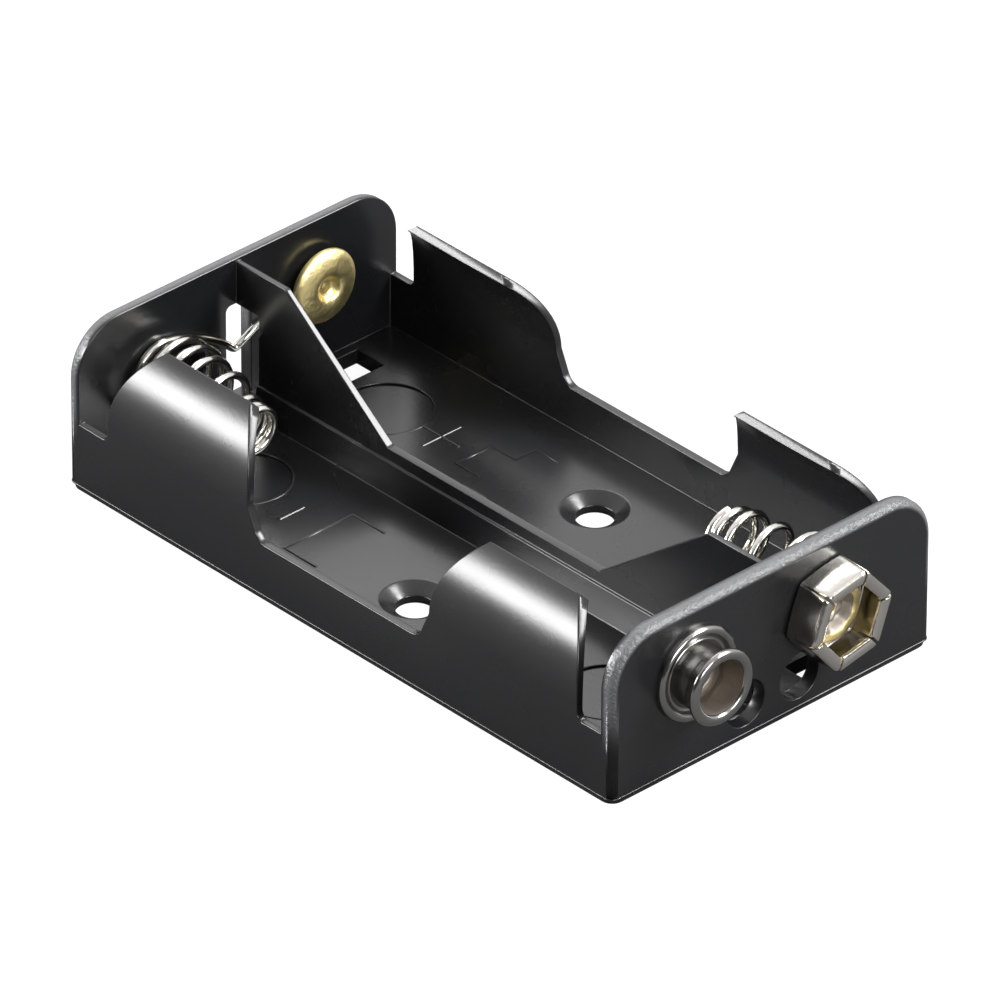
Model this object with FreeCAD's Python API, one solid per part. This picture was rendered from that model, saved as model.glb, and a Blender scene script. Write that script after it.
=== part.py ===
import FreeCAD, Part
import math
import os

# Two-cell battery holder: a moulded tray with two side-by-side lanes, springs and
# riveted contacts inside, and a snap stud and a snap socket on one end wall.
# X runs along the lanes with the snap terminals at +X, Y runs across them, Z is up.
# The origin is the centre of the tray's underside.  All values are millimetres.

Vector = FreeCAD.Vector

# Tray
body_length = 57.5
lane_width = 14.65           # clear width for one cell
wall_height = 13.4
floor_thickness = 1.3
end_wall = 1.2
side_wall = 0.65
end_edge_radius = 0.65       # outer edge of each end wall
end_corner_radius = 4.1      # top corners of each end wall
low_wall_height = 4.75       # middle of each side wall and of the divider
notch_floor = 5.7            # bottom of the notch between an end wall and a tab
notch_corner_radius = 0.6
base_step_height = 0.45      # moulded step round the foot of the tray
base_step = 0.05
base_corner_radius = 1.0

# Side tabs that curl over the cells
tab_curl_radius = 8.0        # outer face
tab_top = wall_height
tab_curl_inward = 3.15       # how far the tip lies inside the wall's outer face
tab_end_lean = 52.0          # how far each end of a tab leans back at its tip, in degrees
tab_end_radius = 7.6         # curve from the upright end to that lean
tab_end_run = 4.0            # length of the leaning line's tangent
tab_tip_radius = 0.6
tab_foot_lean = 1.1          # how much the middle end of a tab spreads towards its foot
tab_foot_radius = 1.2
short_tab_inner_end = 9.75
short_tab_outer_end = 25.1
long_tab_inner_end = 9.35
long_tab_outer_end = 24.4

# Divider between the lanes, with a gusset at each end
divider_thickness = 0.7
gusset_tip_thickness = 0.44
divider_foot_width = 1.9     # at the floor
divider_ledge_width = 1.1    # top of the foot
divider_ledge_height = 3.75
gusset_height = 13.15
gusset_top_end = 22.2        # end of the flat top, from the middle of the tray
gusset_foot_end = 11.2       # where the slope reaches the low divider
gusset_corner_radius = 0.5

# Openings in the tray
wire_slot_width = 2.4
wire_slot_top = 9.55
wire_slot_reach = 2.45       # how far the slot runs on into the divider
wire_slot_radius = 0.45
window_width = 6.4
rivet_window_start = 23.8
rivet_window_end = 26.75
spring_window_start = 25.25
lead_hole_radius = 1.88
lead_hole_offset = 2.65
lead_hole_z = 3.0
screw_x = 1.0
screw_offset = 8.85
screw_bore_radius = 1.45
screw_head_radius = 2.6
screw_land = 0.6
mark_x = 19.2
mark_shift = 0.7             # from the lane's middle towards the divider
mark_radius = 3.55
mark_depth = 0.12

# Snap terminals on the +X end wall
snap_pitch = 12.7            # stud centre to socket centre
terminal_z = 7.9
terminal_height = 3.0        # from the end wall to the front
sheet = 0.3

stud_flange_radius = 3.72
stud_flange_thickness = 0.5
stud_ridge_radius = 3.15
stud_neck_radius = 2.5
stud_rim_radius = 2.98
stud_rim_land = 0.45
stud_bore_radius = 2.1

socket_across_flats = 7.0
socket_lip = 0.75
socket_roll_radius = 0.35
socket_slit = 0.2
socket_slit_start = 0.8
socket_turn = 10.4           # degrees from +Y to the first corner
petal_count = 6

# Rivets
contact_head_radius = 3.05
contact_head_height = 0.8
contact_dimple_radius = 1.05
contact_dimple_depth = 0.45
contact_shank_radius = 1.2
socket_head_radius = 1.75
socket_head_height = 0.7
socket_shank_radius = 0.9
clinch_height = 0.45
clinch_overhang = 0.6
shank_clearance = 0.05
outside_pocket_radius = 2.6
outside_pocket_depth = 0.5
link_rivet_z = 8.1

# Springs
spring_wire = 0.6
wire_sides = 8
loop_gap = 0.08              # between a loop of wire and the rivet shank inside it
points_per_turn = 12
link_spring_z = 6.5
link_tip_x = -17.2
link_coil_pitches = (0.6, 0.9, 2.6, 2.4, 1.1, 1.05, 1.05, 0.35)
link_coil_radii = (1.8, 1.8, 1.95, 2.7, 3.0, 3.55, 3.65, 2.95, 2.9)
link_tail_angle = 62.0       # where the tail leaves the last coil
link_bend_y = -0.75
link_bend_radius = 0.9
link_loop_turn = 250.0
socket_spring_lean = -1.27   # the coil lies this far off the lane's middle
socket_spring_z = 7.7
socket_tip_x = 17.4
socket_coil_pitches = (1.45, 2.5, 3.15, 2.75)
socket_coil_radii = (2.42, 2.42, 2.66, 3.3, 3.55)
socket_first_half_pitch = 0.35
socket_hook_turn = 400.0

body_width = 2 * (lane_width + side_wall) + divider_thickness
half_length = body_length / 2
half_width = body_width / 2
inner_x = half_length - end_wall
lane_offset = (divider_thickness + lane_width) / 2
mark_offset = lane_offset - mark_shift
stud_y = -lane_offset
socket_y = stud_y + snap_pitch
link_rivet_y = lane_offset
link_spring_y = -lane_offset
socket_spring_y = lane_offset + socket_spring_lean
wire_radius = spring_wire / 2


def rounded_wire(corners, place):
    """Closed outline with a radius at each corner: corners hold (a, b, radius)."""
    count = len(corners)
    points = [Vector(a, b, 0) for a, b, radius in corners]
    edges = []
    ends = []
    for i in range(count):
        before = points[i - 1]
        corner = points[i]
        after = points[(i + 1) % count]
        radius = corners[i][2]
        to_before = (before - corner).normalize()
        to_after = (after - corner).normalize()
        if radius <= 0:
            ends.append((corner, corner, None))
            continue
        half_angle = to_before.getAngle(to_after) / 2
        setback = radius / math.tan(half_angle)
        bisector = (to_before + to_after).normalize()
        centre = corner + bisector * (radius / math.sin(half_angle))
        middle = centre - bisector * radius
        ends.append((corner + to_before * setback, corner + to_after * setback, middle))
    for i in range(count):
        start, stop, middle = ends[i]
        if middle is not None:
            edges.append(Part.Arc(place(start), place(middle), place(stop)).toShape())
        following = ends[(i + 1) % count][0]
        if (following - stop).Length > 1e-6:
            edges.append(Part.LineSegment(place(stop), place(following)).toShape())
    return Part.Wire(edges)


def side_profile(corners, y_start, thickness):
    """Solid whose outline is drawn in X and Z."""
    wire = rounded_wire(corners, lambda p: Vector(p.x, y_start, p.y))
    return Part.Face(wire).extrude(Vector(0, thickness, 0))


def end_profile(corners, x_start, length):
    """Solid whose outline is drawn in Y and Z."""
    wire = rounded_wire(corners, lambda p: Vector(x_start, p.x, p.y))
    return Part.Face(wire).extrude(Vector(length, 0, 0))


def box(x_range, y_range, z_range):
    size = [b - a for a, b in (x_range, y_range, z_range)]
    return Part.makeBox(*size, Vector(x_range[0], y_range[0], z_range[0]))


def turned(profile, y, z):
    """Solid of revolution about an X axis: profile holds (x, radius) corners."""
    wire = Part.makePolygon([Vector(x, 0, radius) for x, radius in profile + profile[:1]])
    solid = Part.Face(wire).revolve(Vector(0, 0, 0), Vector(1, 0, 0), 360)
    solid.translate(Vector(0, y, z))
    return solid


def half_turned(shape):
    """Copy turned half way round the tray's vertical axis."""
    copy = shape.copy()
    copy.rotate(Vector(0, 0, 0), Vector(0, 0, 1), 180)
    return copy


def curled_wall():
    """Section of the near side wall, upright below and curled over the lane above."""
    outer = tab_curl_radius
    inner = outer - side_wall
    centre_y = -half_width + outer
    tip_angle = math.acos(1 - tab_curl_inward / outer)
    centre_z = tab_top - outer * math.sin(tip_angle)

    def on_arc(radius, angle):
        return Vector(0, centre_y - radius * math.cos(angle), centre_z + radius * math.sin(angle))

    outer_foot = Vector(0, -half_width, 0)
    inner_foot = Vector(0, -half_width + side_wall, 0)
    edges = [
        Part.LineSegment(outer_foot, on_arc(outer, 0)).toShape(),
        Part.Arc(on_arc(outer, 0), on_arc(outer, tip_angle / 2), on_arc(outer, tip_angle)).toShape(),
        Part.LineSegment(on_arc(outer, tip_angle), on_arc(inner, tip_angle)).toShape(),
        Part.Arc(on_arc(inner, tip_angle), on_arc(inner, tip_angle / 2), on_arc(inner, 0)).toShape(),
        Part.LineSegment(on_arc(inner, 0), inner_foot).toShape(),
        Part.LineSegment(inner_foot, outer_foot).toShape(),
    ]
    section = Part.Face(Part.Wire(edges))
    section.translate(Vector(-inner_x - side_wall, 0, 0))
    return section.extrude(Vector(2 * (inner_x + side_wall), 0, 0))


def tab_end(x, outward):
    """Corners of one end of a tab, from its upright edge at x up to its tip."""
    lean = math.radians(tab_end_lean)
    tip = (x - outward * tab_end_run * math.sin(lean), tab_top, tab_tip_radius)
    turn = (x, tab_top - tab_end_run * math.cos(lean), tab_end_radius)
    return [turn, tip]


def side_wall_with_tabs():
    """Near side wall: a long tab, a low middle and a short tab."""
    reach = inner_x + side_wall
    long_foot = -long_tab_inner_end + tab_foot_lean
    short_foot = short_tab_inner_end - tab_foot_lean
    turn_z = tab_end(0, 1)[0][1]
    spread_top = turn_z - tab_end_radius * math.tan(math.radians(tab_end_lean / 2))
    outline = [
        (-reach, 0, 0),
        (-reach, notch_floor, 0),
        (-long_tab_outer_end, notch_floor, notch_corner_radius),
        *tab_end(-long_tab_outer_end, -1),
        *reversed(tab_end(-long_tab_inner_end, 1)),
        (-long_tab_inner_end, spread_top, 0),
        (long_foot, low_wall_height, tab_foot_radius),
        (short_foot, low_wall_height, tab_foot_radius),
        (short_tab_inner_end, spread_top, 0),
        *tab_end(short_tab_inner_end, -1),
        *reversed(tab_end(short_tab_outer_end, 1)),
        (short_tab_outer_end, notch_floor, notch_corner_radius),
        (reach, notch_floor, 0),
        (reach, 0, 0),
    ]
    blank = side_profile(outline, -half_width - 1, half_width)
    return curled_wall().common(blank)


def end_wall_blank():
    """End wall at +X with its outer edge rounded."""
    outline = [
        (-half_width, 0, 0),
        (-half_width, wall_height, end_corner_radius),
        (half_width, wall_height, end_corner_radius),
        (half_width, 0, 0),
    ]
    wall = end_profile(outline, inner_x, end_wall)
    rim = [
        edge for edge in wall.Edges
        if abs(edge.BoundBox.XMin - half_length) < 1e-6 and edge.BoundBox.ZMax > 1e-6
    ]
    return wall.makeFillet(end_edge_radius, rim)


def divider():
    """Low rib between the lanes that rises into a thin gusset at each end."""
    half = divider_thickness / 2
    tip = gusset_tip_thickness / 2
    foot = divider_foot_width / 2
    ledge = divider_ledge_width / 2
    right_side = [
        (tip, gusset_height, 0),
        (half, low_wall_height, 0),
        (half, divider_ledge_height, 0),
        (ledge, divider_ledge_height, 0),
        (foot, floor_thickness, 0),
        (foot, 0, 0),
    ]
    section = [(-y, z, radius) for y, z, radius in reversed(right_side)] + right_side
    reach = inner_x + end_wall / 2
    rib = end_profile(section, -reach, 2 * reach)
    outline = [
        (-reach, 0, 0),
        (-reach, gusset_height, 0),
        (-gusset_top_end, gusset_height, gusset_corner_radius),
        (-gusset_foot_end, low_wall_height, gusset_corner_radius),
        (gusset_foot_end, low_wall_height, gusset_corner_radius),
        (gusset_top_end, gusset_height, gusset_corner_radius),
        (reach, gusset_height, 0),
        (reach, 0, 0),
    ]
    return rib.common(side_profile(outline, -foot, 2 * foot))


def base_step_ring():
    """Thin frame of material taken off round the foot of the tray."""
    outside = box(
        (-half_length - 1, half_length + 1), (-half_width - 1, half_width + 1), (-1, base_step_height)
    )
    kept = box(
        (-half_length + base_step, half_length - base_step),
        (-half_width + base_step, half_width - base_step),
        (-1, base_step_height),
    )
    upright = [e for e in kept.Edges if abs(e.BoundBox.ZLength - 1 - base_step_height) < 1e-6]
    return outside.cut(kept.makeFillet(base_corner_radius, upright))


def tray_openings():
    """Every hole, slot, window, pocket and shallow mark of the tray."""
    cuts = []
    slot = [
        (-wire_slot_width / 2, floor_thickness, 0),
        (-wire_slot_width / 2, wire_slot_top, wire_slot_radius),
        (wire_slot_width / 2, wire_slot_top, wire_slot_radius),
        (wire_slot_width / 2, floor_thickness, 0),
    ]
    cuts.append(end_profile(slot, -half_length - 1, 1 + end_wall + wire_slot_reach))
    for lane in (-1, 1):
        lane_y = lane * lane_offset
        y_range = (lane_y - window_width / 2, lane_y + window_width / 2)
        z_range = (-1, floor_thickness + 1)
        rivet_side = (rivet_window_start, rivet_window_end)
        spring_side = (spring_window_start, inner_x)
        for side, near_rivet in ((-1, lane > 0), (1, lane < 0)):
            start, stop = rivet_side if near_rivet else spring_side
            x_range = tuple(sorted((side * start, side * stop)))
            cuts.append(box(x_range, y_range, z_range))
            mark = Part.makeCylinder(
                mark_radius, 1, Vector(side * mark_x, lane * mark_offset, floor_thickness - mark_depth)
            )
            cuts.append(mark)
        screw = Vector(screw_x, lane * screw_offset, -1)
        cuts.append(Part.makeCylinder(screw_bore_radius, 2 + floor_thickness, screw))
        sink = floor_thickness - screw_land
        cone = Part.makeCone(screw_bore_radius, screw_head_radius, sink, screw + Vector(0, 0, 1 + screw_land))
        cuts.append(cone)
        lead = Vector(inner_x, lane * lead_hole_offset, lead_hole_z)
        cuts.append(Part.makeCylinder(lead_hole_radius, end_wall + 1, lead, Vector(1, 0, 0)))
    along = Vector(1, 0, 0)
    for y, shank in ((stud_y, contact_shank_radius), (socket_y, socket_shank_radius)):
        bore = Vector(inner_x - 1, y, terminal_z)
        cuts.append(Part.makeCylinder(shank + shank_clearance, end_wall + 2, bore, along))
    rivet = Vector(-half_length - 1, link_rivet_y, link_rivet_z)
    cuts.append(Part.makeCylinder(outside_pocket_radius, 1 + outside_pocket_depth, rivet, along))
    cuts.append(Part.makeCylinder(contact_shank_radius + shank_clearance, end_wall + 2, rivet, along))
    return cuts


def make_housing():
    floor = box(
        (-inner_x - end_wall / 2, inner_x + end_wall / 2), (-half_width, half_width), (0, floor_thickness)
    )
    far_end = end_wall_blank()
    near_side = side_wall_with_tabs()
    solids = [far_end, half_turned(far_end), near_side, half_turned(near_side), divider()]
    tray = floor.fuse(solids).removeSplitter()
    tray = tray.cut(tray_openings() + [base_step_ring()])
    return tray.removeSplitter()


def make_stud():
    """Hollow snap stud: flange with a raised ring, neck and rolled rim."""
    x0 = half_length
    front = x0 + terminal_height
    flange = x0 + stud_flange_thickness
    profile = [
        (x0, shank_clearance + contact_shank_radius),
        (x0, stud_flange_radius),
        (flange - 0.15, stud_flange_radius),
        (flange, stud_flange_radius - 0.2),
        (flange, stud_ridge_radius),
        (x0 + sheet, stud_ridge_radius - 0.15),
        (x0 + sheet, stud_neck_radius),
        (front - 1.35, stud_neck_radius),
        (front - 0.7, stud_rim_radius),
        (front - 0.7 + stud_rim_land, stud_rim_radius),
        (front, stud_rim_radius - 0.3),
        (front, stud_bore_radius + 0.2),
        (front - 0.2, stud_bore_radius),
        (x0 + sheet, stud_bore_radius),
        (x0 + sheet, shank_clearance + contact_shank_radius),
    ]
    return turned(profile, stud_y, terminal_z)


def make_socket():
    """Female snap: six-sided base and six upright petals rolled in at the front."""
    apothem = socket_across_flats / 2
    corner = apothem / math.cos(math.pi / petal_count)
    lip_end = apothem - socket_lip
    roll = socket_roll_radius
    front = terminal_height
    strip = [
        (0, apothem - sheet, 0),
        (0, apothem, 0),
        (front, apothem, roll),
        (front, lip_end, roll - 0.05),
        (front - roll - 0.15, lip_end, 0),
        (front - roll - 0.15, lip_end + sheet, 0),
        (front - sheet, lip_end + sheet, 0),
        (front - sheet, apothem - sheet, 0),
    ]
    wire = rounded_wire(strip, lambda p: Vector(p.x, -corner, p.y))
    petal = Part.Face(wire).extrude(Vector(0, 2 * corner, 0))
    half_sector = math.pi / petal_count
    slit_shift = socket_slit / 2 / math.sin(half_sector)
    tall = 2 * corner
    wide = tall * math.tan(half_sector)
    shift = Vector(0, 0, slit_shift)
    sector = Part.makePolygon([shift, Vector(0, -wide, tall) + shift, Vector(0, wide, tall) + shift, shift])
    sector = Part.Face(sector).extrude(Vector(front + 1, 0, 0))
    full = Part.makePolygon([Vector(0, 0, 0), Vector(0, -wide, tall), Vector(0, wide, tall), Vector(0, 0, 0)])
    foot = Part.Face(full).extrude(Vector(socket_slit_start, 0, 0))
    petal = petal.common(sector.fuse(foot))
    bore = Part.makeCylinder(socket_shank_radius + shank_clearance, sheet, Vector(0, 0, 0), Vector(1, 0, 0))
    corners = []
    for i in range(petal_count + 1):
        angle = 2 * math.pi * i / petal_count
        corners.append(Vector(0, corner * math.cos(angle), corner * math.sin(angle)))
    base = Part.Face(Part.makePolygon(corners)).extrude(Vector(sheet, 0, 0)).cut(bore)
    petals = []
    for i in range(petal_count):
        copy = petal.copy()
        copy.rotate(Vector(0, 0, 0), Vector(1, 0, 0), i * 360 / petal_count)
        petals.append(copy)
    socket = base.fuse(petals).removeSplitter()
    # Before the turn one petal faces +Z and one corner lies along +Y.
    socket.rotate(Vector(0, 0, 0), Vector(1, 0, 0), socket_turn)
    socket.translate(Vector(half_length, socket_y, terminal_z))
    return socket


def contact_rivet(seat, outside, y, z, direction):
    """Domed rivet with a dimple: direction points from the wall into the lane."""
    top = seat + direction * contact_head_height
    head = contact_head_radius
    dimple = contact_dimple_radius
    clinch = outside - direction * clinch_height
    profile = [
        (seat, contact_shank_radius),
        (seat, head),
        (seat + direction * 0.2, head),
        (seat + direction * 0.5, head - 0.4),
        (top, head - 1.3),
        (top, dimple + 0.2),
        (top - direction * contact_dimple_depth, dimple * 0.4),
        (top - direction * contact_dimple_depth, 0),
        (clinch, 0),
        (clinch, contact_shank_radius + clinch_overhang * 0.6),
        (outside - direction * 0.2, contact_shank_radius + clinch_overhang),
        (outside, contact_shank_radius + clinch_overhang),
        (outside, contact_shank_radius),
    ]
    return turned(profile, y, z)


def make_socket_rivet():
    """Rivet that holds the socket outside and the spring's hook inside."""
    seat = inner_x - spring_wire
    outside = half_length + sheet
    shank = socket_shank_radius
    rolled = shank + clinch_overhang
    profile = [
        (seat, shank),
        (seat, socket_head_radius),
        (seat - 0.3, socket_head_radius),
        (seat - socket_head_height, socket_head_radius - 0.6),
        (seat - socket_head_height, 0),
        (outside + clinch_height - 0.2, 0),
        (outside + clinch_height, shank),
        (outside + clinch_height, rolled - 0.15),
        (outside, rolled),
        (outside, shank),
    ]
    return turned(profile, socket_y, terminal_z)


def swept_wire(points):
    """Wire along the points, in straight lengths with flat sides, mitred where they meet."""
    path = Part.makePolygon(points)
    along = (points[1] - points[0]).normalize()
    side = along.cross(Vector(1, 0, 0)).normalize()
    other = along.cross(side)
    rim = []
    for step in range(wire_sides + 1):
        angle = 2 * math.pi * (step + 0.5) / wire_sides
        rim.append(points[0] + (side * math.cos(angle) + other * math.sin(angle)) * wire_radius)
    mitred = 1
    return path.makePipeShell([Part.makePolygon(rim)], True, False, mitred)


def arc_points(x, centre, radius, start, stop, steps):
    """Points on an arc in the plane at x, with angles in degrees from +Y."""
    points = []
    for step in range(steps + 1):
        angle = math.radians(start + (stop - start) * step / steps)
        points.append(Vector(x, centre[0] + radius * math.cos(angle), centre[1] + radius * math.sin(angle)))
    return points


def eased(values, turn):
    """Value between whole turns, blended so that it changes smoothly."""
    last = len(values) - 1
    index = min(int(turn), last - 1)
    part = turn - index
    before = values[max(index - 1, 0)]
    after = values[min(index + 2, last)]
    start = values[index]
    stop = values[index + 1]
    slope_start = (stop - before) / 2
    slope_stop = (after - start) / 2
    square = part * part
    cube = square * part
    return (
        (2 * cube - 3 * square + 1) * start + (cube - 2 * square + part) * slope_start
        + (3 * square - 2 * cube) * stop + (cube - square) * slope_stop
    )


def make_link_spring():
    """Conical spring whose tail runs through the slot and round the link rivet."""
    tops = [link_tip_x]
    for pitch in link_coil_pitches:
        tops.append(tops[-1] - pitch)
    wall_x = -inner_x + wire_radius
    tops = [x + (wall_x - tops[-1]) for x in tops]
    turns = len(link_coil_pitches)
    points = []
    for step in range(turns * points_per_turn + 1):
        turn = step / points_per_turn
        radius = eased(link_coil_radii, turn)
        angle = math.radians(90 - 360 * turn)
        y = link_spring_y + radius * math.cos(angle)
        z = link_spring_z + radius * math.sin(angle)
        points.append(Vector(eased(tops, turn), y, z))
    last = link_coil_radii[-1]
    points += arc_points(wall_x, (link_spring_y, link_spring_z), last, 90, link_tail_angle, 2)[1:]
    # The tail runs straight down to a bend in the slot, then up to the rivet and under its shank.
    tail = points[-1]
    slope = math.radians(90 - link_tail_angle)
    bend = (link_bend_y, tail.z - (link_bend_y - tail.y) * math.tan(slope))
    loop = contact_shank_radius + wire_radius + loop_gap
    across = link_rivet_y - bend[0]
    rise = link_rivet_z - bend[1]
    lead = math.atan2(rise, across) - math.asin(loop / math.hypot(across, rise))
    # Centre of the bend's arc, above its corner between the two runs.
    half_turn = (lead + slope) / 2
    lean = (lead - slope) / 2 + math.pi / 2
    setback = link_bend_radius / math.cos(half_turn)
    centre = (bend[0] + setback * math.cos(lean), bend[1] + setback * math.sin(lean))
    first = -90 - math.degrees(slope)
    points += arc_points(wall_x, centre, link_bend_radius, first, -90 + math.degrees(lead), 4)
    start = math.degrees(lead) - 90
    points += arc_points(
        wall_x, (link_rivet_y, link_rivet_z), loop, start, start + link_loop_turn, 9
    )
    return swept_wire(points)


def make_socket_spring():
    """Conical spring whose last coil closes in and hooks round its rivet."""
    tops = [socket_tip_x]
    for pitch in socket_coil_pitches:
        tops.append(tops[-1] + pitch)
    wall_x = inner_x - wire_radius
    tops = [x + (wall_x - tops[-1]) for x in tops]
    turns = len(socket_coil_pitches)
    points = []
    for step in range(-points_per_turn // 2, 0):
        turn = step / points_per_turn
        angle = math.radians(90 + 360 * turn)
        x = tops[0] + socket_first_half_pitch * 2 * turn
        y = socket_spring_y + socket_coil_radii[0] * math.cos(angle)
        z = socket_spring_z + socket_coil_radii[0] * math.sin(angle)
        points.append(Vector(x, y, z))
    for step in range(turns * points_per_turn + 1):
        turn = step / points_per_turn
        angle = math.radians(90 + 360 * turn)
        radius = eased(socket_coil_radii, turn)
        y = socket_spring_y + radius * math.cos(angle)
        z = socket_spring_z + radius * math.sin(angle)
        points.append(Vector(eased(tops, turn), y, z))
    loop = socket_shank_radius + wire_radius + loop_gap
    steps = int(socket_hook_turn / 30)
    for step in range(1, steps + 1):
        share = step / steps
        blend = min(1, share * socket_hook_turn / 270)
        angle = math.radians(90 + socket_hook_turn * share)
        radius = socket_coil_radii[-1] + (loop - socket_coil_radii[-1]) * blend
        y = socket_spring_y + (socket_y - socket_spring_y) * blend + radius * math.cos(angle)
        z = socket_spring_z + (terminal_z - socket_spring_z) * blend + radius * math.sin(angle)
        points.append(Vector(wall_x, y, z))
    return swept_wire(points)


def main():
    parts = {
        "housing": make_housing(),
        "stud_terminal": make_stud(),
        "socket_terminal": make_socket(),
        "stud_rivet": contact_rivet(inner_x, half_length + sheet, stud_y, terminal_z, -1),
        "socket_rivet": make_socket_rivet(),
        "link_rivet": contact_rivet(
            -inner_x + spring_wire, -half_length + outside_pocket_depth, link_rivet_y, link_rivet_z, 1
        ),
        "socket_spring": make_socket_spring(),
        "link_spring": make_link_spring(),
    }
    os.makedirs("parts", exist_ok=True)
    for name, shape in parts.items():
        shape.exportStep(os.path.join("parts", name + ".step"))
        print(name, shape.isValid(), len(shape.Solids), round(shape.Volume, 3), shape.BoundBox)


main()
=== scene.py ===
import math

import bmesh
import bpy
from mathutils import Matrix, Vector


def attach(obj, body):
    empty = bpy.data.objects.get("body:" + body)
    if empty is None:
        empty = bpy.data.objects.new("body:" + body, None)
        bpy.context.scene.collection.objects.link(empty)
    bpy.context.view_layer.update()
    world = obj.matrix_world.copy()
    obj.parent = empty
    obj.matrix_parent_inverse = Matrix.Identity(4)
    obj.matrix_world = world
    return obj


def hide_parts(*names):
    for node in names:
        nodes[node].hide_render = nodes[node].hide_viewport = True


# Looks of a moulded two-cell battery holder.  Metres; the frame is the CAD model's:
# X along the lanes towards the snap terminals, Y across them, Z up, floor at Z = 0.

MM = 0.001

# Camera, as fitted to the photograph
CAMERA_AZIMUTH = 46.945      # degrees round Z from the -Y side
CAMERA_ELEVATION = 32.601
CAMERA_ROLL = 0.2026
CAMERA_DISTANCE = 1063.716 * MM
CAMERA_TARGET = Vector((0.4124, 0, 5.6079)) * MM
CAMERA_LENS = 532.87         # on a sensor 36 wide

# Studio: where the white backdrop stands, and each box's direction, the way of its long side,
# distance, size and power
BACKDROP_SIDE = (-0.55, 0.65, 0.52)
SOFT_BOXES = (
    ("left_box", (-0.6155, -0.705, 0.351), (1, 0, 0), 0.6, (0.45, 0.18), 6.4),
    ("top_box", (-0.6, 0.35, 0.72), (0, 1, 0), 0.7, (0.35, 0.25), 0.8),
    ("right_box", (0.5, 0.575, 0.65), (-0.75, 0, 0.6), 0.6, (0.5, 0.16), 6.5),
    ("front_box", (0.85, -0.12, 0.45), (0, 1, 0), 0.8, (0.4, 0.3), 5.0),
)

# Springs: path centres in the frame, turn by turn from the free tip
WIRE_RADIUS = 0.3
STEPS_PER_TURN = 36
LINK_SPRING = {
    "centre": (-7.675, 6.5), "seat": -27.25, "side": -1, "turn_way": -1,
    "pitches": (0.6, 0.85, 2.2, 2.3, 1.35, 1.3, 1.45),
    "radii": (1.78, 1.8, 1.95, 2.8, 3.1, 3.45, 3.58, 3.0),
}
SOCKET_SPRING = {
    "centre": (6.4, 7.7), "seat": 27.25, "side": 1, "turn_way": 1,
    "pitches": (0.55, 1.25, 2.55, 3.25, 2.25),
    "radii": (2.28, 2.31, 2.56, 2.7, 3.42, 3.55),
}
LINK_TAIL = (
    (-6.31, 9.22), (-5.04, 8.8), (-4.05, 8.32), (-2.97, 7.72), (-1.59, 6.76), (-0.95, 6.2),
    (-0.55, 6.12), (0.3, 6.5), (1.6, 7.1), (3.3, 7.3), (5.2, 6.85),
)
LINK_LOOP_START = 252        # degrees from +Y, where the tail meets the rivet's shank
LINK_LOOP_TURN = 250
SHANK_LOOP = 1.58
SOCKET_HOOK_TURN = 400
SOCKET_HOOK_LOOP = 1.28
HOOK_BLEND = 270             # degrees over which the last coil closes in to the hook
LOOP_STEP = 10               # degrees
TAIL_STEPS = 8               # between two points of the tail

# Rivets and snap terminals: centres in Y and Z, and planes in X
LINK_RIVET = (7.675, 8.1)
STUD = (-7.675, 7.9)
SOCKET = (5.025, 7.9)
INNER_WALL = 27.55
OUTER_WALL = 28.75
HEAD_RADIUS = 3.0
SHANK_RADIUS = 1.2
SOCKET_TURN = 10.4
PETAL_COUNT = 6
PETAL_SLIT = 0.16
PETAL_ROUND = 0.05 * MM
SHEET = 0.3                  # thickness of the stud and of the socket's foot
POCKET = 0.5                 # depth of the round pocket for the link rivet's rolled end
HOLLOW_RADIUS = 1.75         # of the dull hollow in the socket's rivet
FOLD_SPAN = (0.75, 2.9)      # radii between which a contact's dome is creased
FOLD_HEIGHT = 0.016

# Tray
EDGE_ROUND = 0.095 * MM      # moulded edges are never knife sharp
DISC_ROUND = 0.03 * MM
EDGE_ANGLE = 28              # degrees between faces that make an edge
FLAT_ANGLE = 0.6             # degrees between faces that are one flat face
WELD = 0.002 * MM            # corners nearer than this are one corner
TIP_WELD = 0.06 * MM
TIP_EDGE = 0.5 * MM          # shorter edges at the corners of the tabs' tips stay sharp
GAP = 0.02                   # a point this near a plane lies on it
CURL_GAP = 0.03              # the same for the faces of the curl
TIP_GAP = 0.3                # the same in degrees, for the tips of the tabs
FILLET_TOP = 5.7             # height where the foot's rounded corners end
FILLET_START = 28            # they lie farther than this from the middle
TIP_LENGTH = 26              # box round the tips of the tabs: half length, span in Y, foot
TIP_SPAN = (11.5, 13.2)
TIP_FOOT = 12.2
GRAIN_AND_HIGHLIGHT_START = (27.7, 28.0)   # the grain, and the painted highlight with it, fade in past the end walls' inner face
GRAIN_AND_HIGHLIGHT_HEIGHT = (4, 8)        # and up from the foot
CURL_AXIS = (7.65, 7.038)    # axis of the curl of the tabs: distance from the middle, height
CURL_RADII = (8.0, 7.35)     # outer and inner face
CURL_ANGLE = 52.68           # degrees that the curl turns from upright to its tip
TIP_LEAN = 0.45              # degrees that the inner edge of the tip runs on
FLOOR_TOP = 1.3
MARK_RADIUS = 0.15           # raised lines on the floor, sunk to leave a low ridge
MARK_SINK = 0.05
DISC_MARKS = ((-19.2, -6.975), (19.2, -6.975), (-19.2, 6.975), (19.2, 6.975))
DISC_RADIUS = 3.55
DISC_DEPTH = 0.13
DISC_GAP = 0.05
DISC_RIM = 0.09              # radius of the fine rim round a disc
DISC_SINK = 0.03
STEP_HEIGHT = 0.45           # moulded step round the foot, which the bead covers
PARTING_HEIGHT = 0.47        # bead that the two halves of the mould leave round the foot
PARTING_RADIUS = 0.07
FOOT = (28.74, 15.64, 0.65)  # half length, half width and corner radius of the bead's path

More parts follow.
